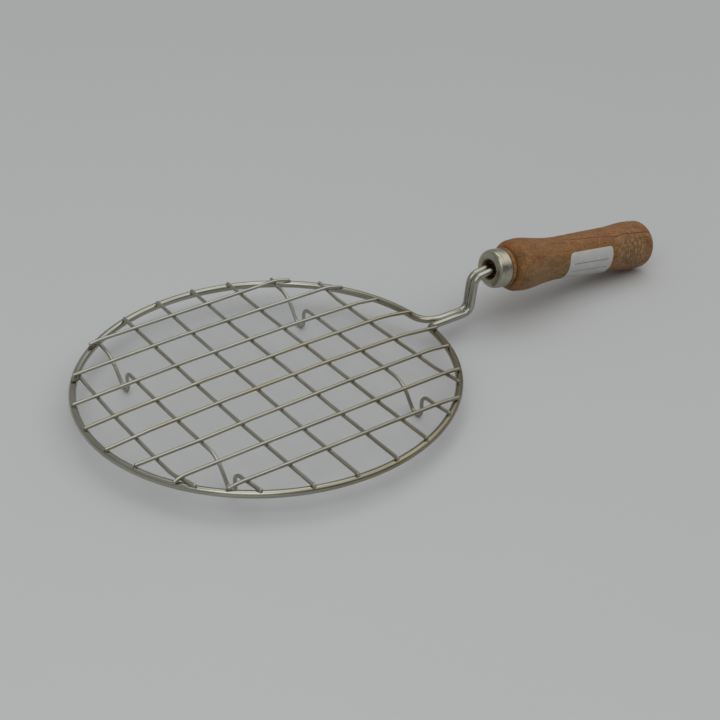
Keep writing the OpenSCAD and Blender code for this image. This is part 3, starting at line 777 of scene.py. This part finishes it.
wood_profile.append((0, 120.5))
v, f, loc, ex = lathe(wood_profile, 256, {"crack": crack_distance, "chatter": chatter, "endgrain": end_grain, "painted_shade_and_grime": wood_recess_painted_shade, "worn": worn_patch, "spot": dark_spots}, wood_wobble)
handle = build("wooden_handle_turned", v, f, MAT_WOOD, ex, {"local": loc}, "wooden_handle")


# Painted shade and grime on the ferrule: the seam notch, the seam line, the rim of the hole and the back edge are
# darkened where shade falls.
def ferrule_recess_painted_shade(r, z, a):
    th = theta(a)
    tick = math.exp(-((th - 64) / 4.0) ** 2) * math.exp(-((z - 3.15) / 0.75) ** 2) if r > 10.4 else 0
    hole = 0.75 * max(0.0, min(1.0, (6.2 - r) / 0.5))
    line = 0.45 * math.exp(-((z - 3.05) / 0.12) ** 2) if r > 10.4 else 0
    back = 0.6 * max(0.0, min(1.0, (z - 7.95) / 0.2))
    return max(tick, hole, line, back)


def ferrule_wobble(r, z, a):
    w = 0.05 * noise.noise(Vector((math.cos(a) * 1.3, math.sin(a) * 1.3, z * 0.25)))
    if r > 10.4:
        w -= 0.20 * math.exp(-((theta(a) - 64) / 3.0) ** 2) * math.exp(-((z - 3.15) / 0.65) ** 2)
    return min(w, 0.0 if r > 10.6 else 0.03)


front = [(5.72, 0.30), (5.80, 0.14), (5.98, 0.04), (6.3, 0.0), (7.0, 0.03), (7.9, 0.06), (8.55, 0.09)]
for k in range(1, 10):
    a = math.radians(9 * k)
    front.append((8.55 + 2.25 * math.sin(a), 0.09 + 2.5 * (1 - math.cos(a))))
front += [(10.82, 2.55), (10.84, 2.80), (10.80, 2.94), (10.68, 3.05), (10.80, 3.16), (10.92, 3.30), (10.98, 3.6), (11.0, 4.2), (11.0, 5.0), (11.0, 5.9),
          (11.0, 6.7), (11.0, 7.3), (11.0, 7.6), (10.99, 7.85), (10.94, 8.06), (10.84, 8.17), (10.70, 8.20), (10.52, 8.18), (10.42, 8.08), (10.40, 7.8)]
back = [(10.40, 7.0), (10.40, 5.0), (10.35, 3.3), (10.0, 2.1), (9.3, 1.15), (8.4, 0.66), (7.4, 0.60), (6.4, 0.60), (5.95, 0.58), (5.78, 0.48)]
v, f, loc, ex = lathe(front + back, 160, {"painted_shade_and_grime": ferrule_recess_painted_shade}, ferrule_wobble)
build("ferrule_pressed", v, f, MAT_FERRULE, ex, {"local": loc}, "ferrule")


# the label: a thin sheet on the wood, with rounded corners
def label():
    s0, s1, t0, t1, rc = 51.0, 85.0, 55.0, 165.0, 4.0
    mid, half = (t0 + t1) / 2, math.radians((t1 - t0) / 2)
    zs = []
    e = 0.0
    while e < rc:
        zs.append(e)
        e += 0.12 + 0.22 * e / rc
    k = 44
    zs += [rc + (s1 - s0 - 2 * rc) * i / k for i in range(k + 1)]
    zs += [s1 - s0 - q for q in reversed([q for q in zs if q < rc])]
    cols = 56
    verts, sheet, painted_shade_and_grime = [], [], []
    for layer in (0, 1):
        for e in zs:
            z = s0 + e
            r = outline(z)
            d = min(e, s1 - s0 - e)
            inset = rc - math.sqrt(max(0.0, rc * rc - (rc - d) ** 2)) if d < rc else 0.0
            # the corner at the top, away from the ferrule, is cut sharper than the others
            rt = 2.0 if e > (s1 - s0) / 2 else rc
            top = rt - math.sqrt(max(0.0, rt * rt - (rt - d) ** 2)) if d < rt else 0.0
            h = half - inset / r
            for j in range(cols + 1):
                q = -1 + 2 * j / cols
                q = math.sin(q * math.pi / 2) * 0.35 + q * 0.65
                th = math.radians(mid) + q * (h if q > 0 else half - top / r)
                a = th + math.pi
                lift = 0.02 + 0.02 * noise.noise(Vector((th * 4, z * 0.15, 3.0)))
                lift += 0.10 * max(0.0, 1 - math.hypot((th - math.radians(t0 + 12)) * r, z - s0 - 1.0) / 5.0) ** 2
                lift += 0.07 * max(0.0, 1 - math.hypot((th - math.radians(t1 - 12)) * r, z - s1 + 1.0) / 5.0) ** 2
                # a shallow crease across one corner
                lift += 0.035 * math.exp(-(((th - math.radians(t0)) * r * 0.8 + (z - s1) + 7.5) / 0.35) ** 2)
                rr = r + 0.035 + wood_wobble(r, z, a) + lift + (0.11 if layer else 0.0)
                verts.append(on_axis(rr * math.cos(a), rr * math.sin(a), z))
                u = (th - math.radians(t0)) * 12.4
                sheet.append((u, z - (s0 + s1) / 2, layer * 0.1))
                # edge darkening of the sheet: grime and painted shade
                edge = min((1 - abs(q)) * h * r, d + (0.0 if d < rc else 0.0))
                painted_shade_and_grime.append(max(0.0, 1 - edge / 0.35))
    n, w = len(zs), cols + 1
    faces = []
    for i in range(n - 1):
        for j in range(cols):
            a, b, c, d = i * w + j, i * w + j + 1, (i + 1) * w + j + 1, (i + 1) * w + j
            faces.append((a, d, c, b))
            o = n * w
            faces.append((o + a, o + b, o + c, o + d))
    rim = [j for j in range(w)] + [i * w + w - 1 for i in range(1, n)] + [(n - 1) * w + j for j in range(w - 2, -1, -1)] + [i * w for i in range(n - 2, 0, -1)]
    for a, b in zip(rim, rim[1:] + rim[:1]):
        faces.append((a, b, b + n * w, a + n * w))
    return build("paper_label_sheet", verts, faces, MAT_PAPER, {"painted_shade_and_grime": painted_shade_and_grime}, {"sheet": sheet}, "paper_label")


label()

# ------------------------------------------------------------------ floor, light and camera
me = bpy.data.meshes.new("floor")
me.from_pydata([(-5, -5, 0), (5, -5, 0), (5, 5, 0), (-5, 5, 0)], [], [(0, 1, 2, 3)])
me.materials.append(floor_material())
floor = bpy.data.objects.new("floor", me)
scene.collection.objects.link(floor)

world = bpy.data.worlds.new("studio")
scene.world = world
world.use_nodes = True
wt = world.node_tree
wt.nodes.clear()
wout = wt.nodes.new("ShaderNodeOutputWorld")
bg = wt.nodes.new("ShaderNodeBackground")
tc = wt.nodes.new("ShaderNodeTexCoord")


def sky_patch(towards, near, far, amount):
    """A soft patch of the studio's light around a direction: amount at its middle, 0 outside."""
    dot = wt.nodes.new("ShaderNodeVectorMath")
    dot.operation = "DOT_PRODUCT"
    dot.inputs[1].default_value = Vector(towards).normalized()
    wt.links.new(tc.outputs["Generated"], dot.inputs[0])
    rm = wt.nodes.new("ShaderNodeMapRange")
    rm.interpolation_type = "SMOOTHSTEP"
    for k, v in (("From Min", near), ("From Max", far), ("To Min", 0.0), ("To Max", amount)):
        rm.inputs[k].default_value = v
    wt.links.new(dot.outputs["Value"], rm.inputs["Value"])
    return rm.outputs[0]


total = sky_patch((0.42, -0.12, 0.90), 0.62, 0.95, 0.84)
for args in (((0.30, -0.93, 0.10), 0.75, 0.97, -0.18), ((0.12, 0.42, 0.90), 0.94, 0.985, 0.45)):
    plus = wt.nodes.new("ShaderNodeMath")
    plus.operation = "ADD"
    wt.links.new(total, plus.inputs[0])
    wt.links.new(sky_patch(*args), plus.inputs[1])
    total = plus.outputs[0]
base = wt.nodes.new("ShaderNodeMath")
base.operation = "ADD"
wt.links.new(total, base.inputs[0])
base.inputs[1].default_value = 0.31
bg.inputs["Color"].default_value = (1.0, 1.0, 0.985, 1)
wt.links.new(base.outputs[0], bg.inputs["Strength"])
wt.links.new(bg.outputs[0], wout.inputs[0])

key = bpy.data.lights.new("key_softbox", "AREA")
key.shape = "RECTANGLE"
key.size, key.size_y = 0.9, 0.9
key.energy = 3.0
key.color = (1.0, 0.995, 0.975)
ko = bpy.data.objects.new("key_softbox", key)
ko.location = (-0.62, -0.50, 1.05)
ko.rotation_euler = (Vector((0.03, 0.0, 0.0)) - ko.location).to_track_quat("-Z", "Y").to_euler()
scene.collection.objects.link(ko)

cam = bpy.data.cameras.new("camera")
cam.lens = 75.016
cam.sensor_width = 36.0
cam.clip_start = 0.01
cam.clip_end = 60.0
co = bpy.data.objects.new("camera", cam)
right = Vector((0.8178, -0.5755, -0.0037)).normalized()
back = Vector((-0.4861, -0.6941, 0.5310)).normalized()
up = back.cross(right).normalized()
back = (back + (right - up) * 0.000333).normalized()
right = up.cross(back).normalized()
up = back.cross(right)
m = Matrix((right, up, back)).transposed().to_4x4()
m.translation = Vector((-0.3368, -0.5658, 0.4344))
co.matrix_world = m
scene.collection.objects.link(co)
scene.camera = co
scene.view_settings.view_transform = "Standard"
scene.view_settings.look = "None"
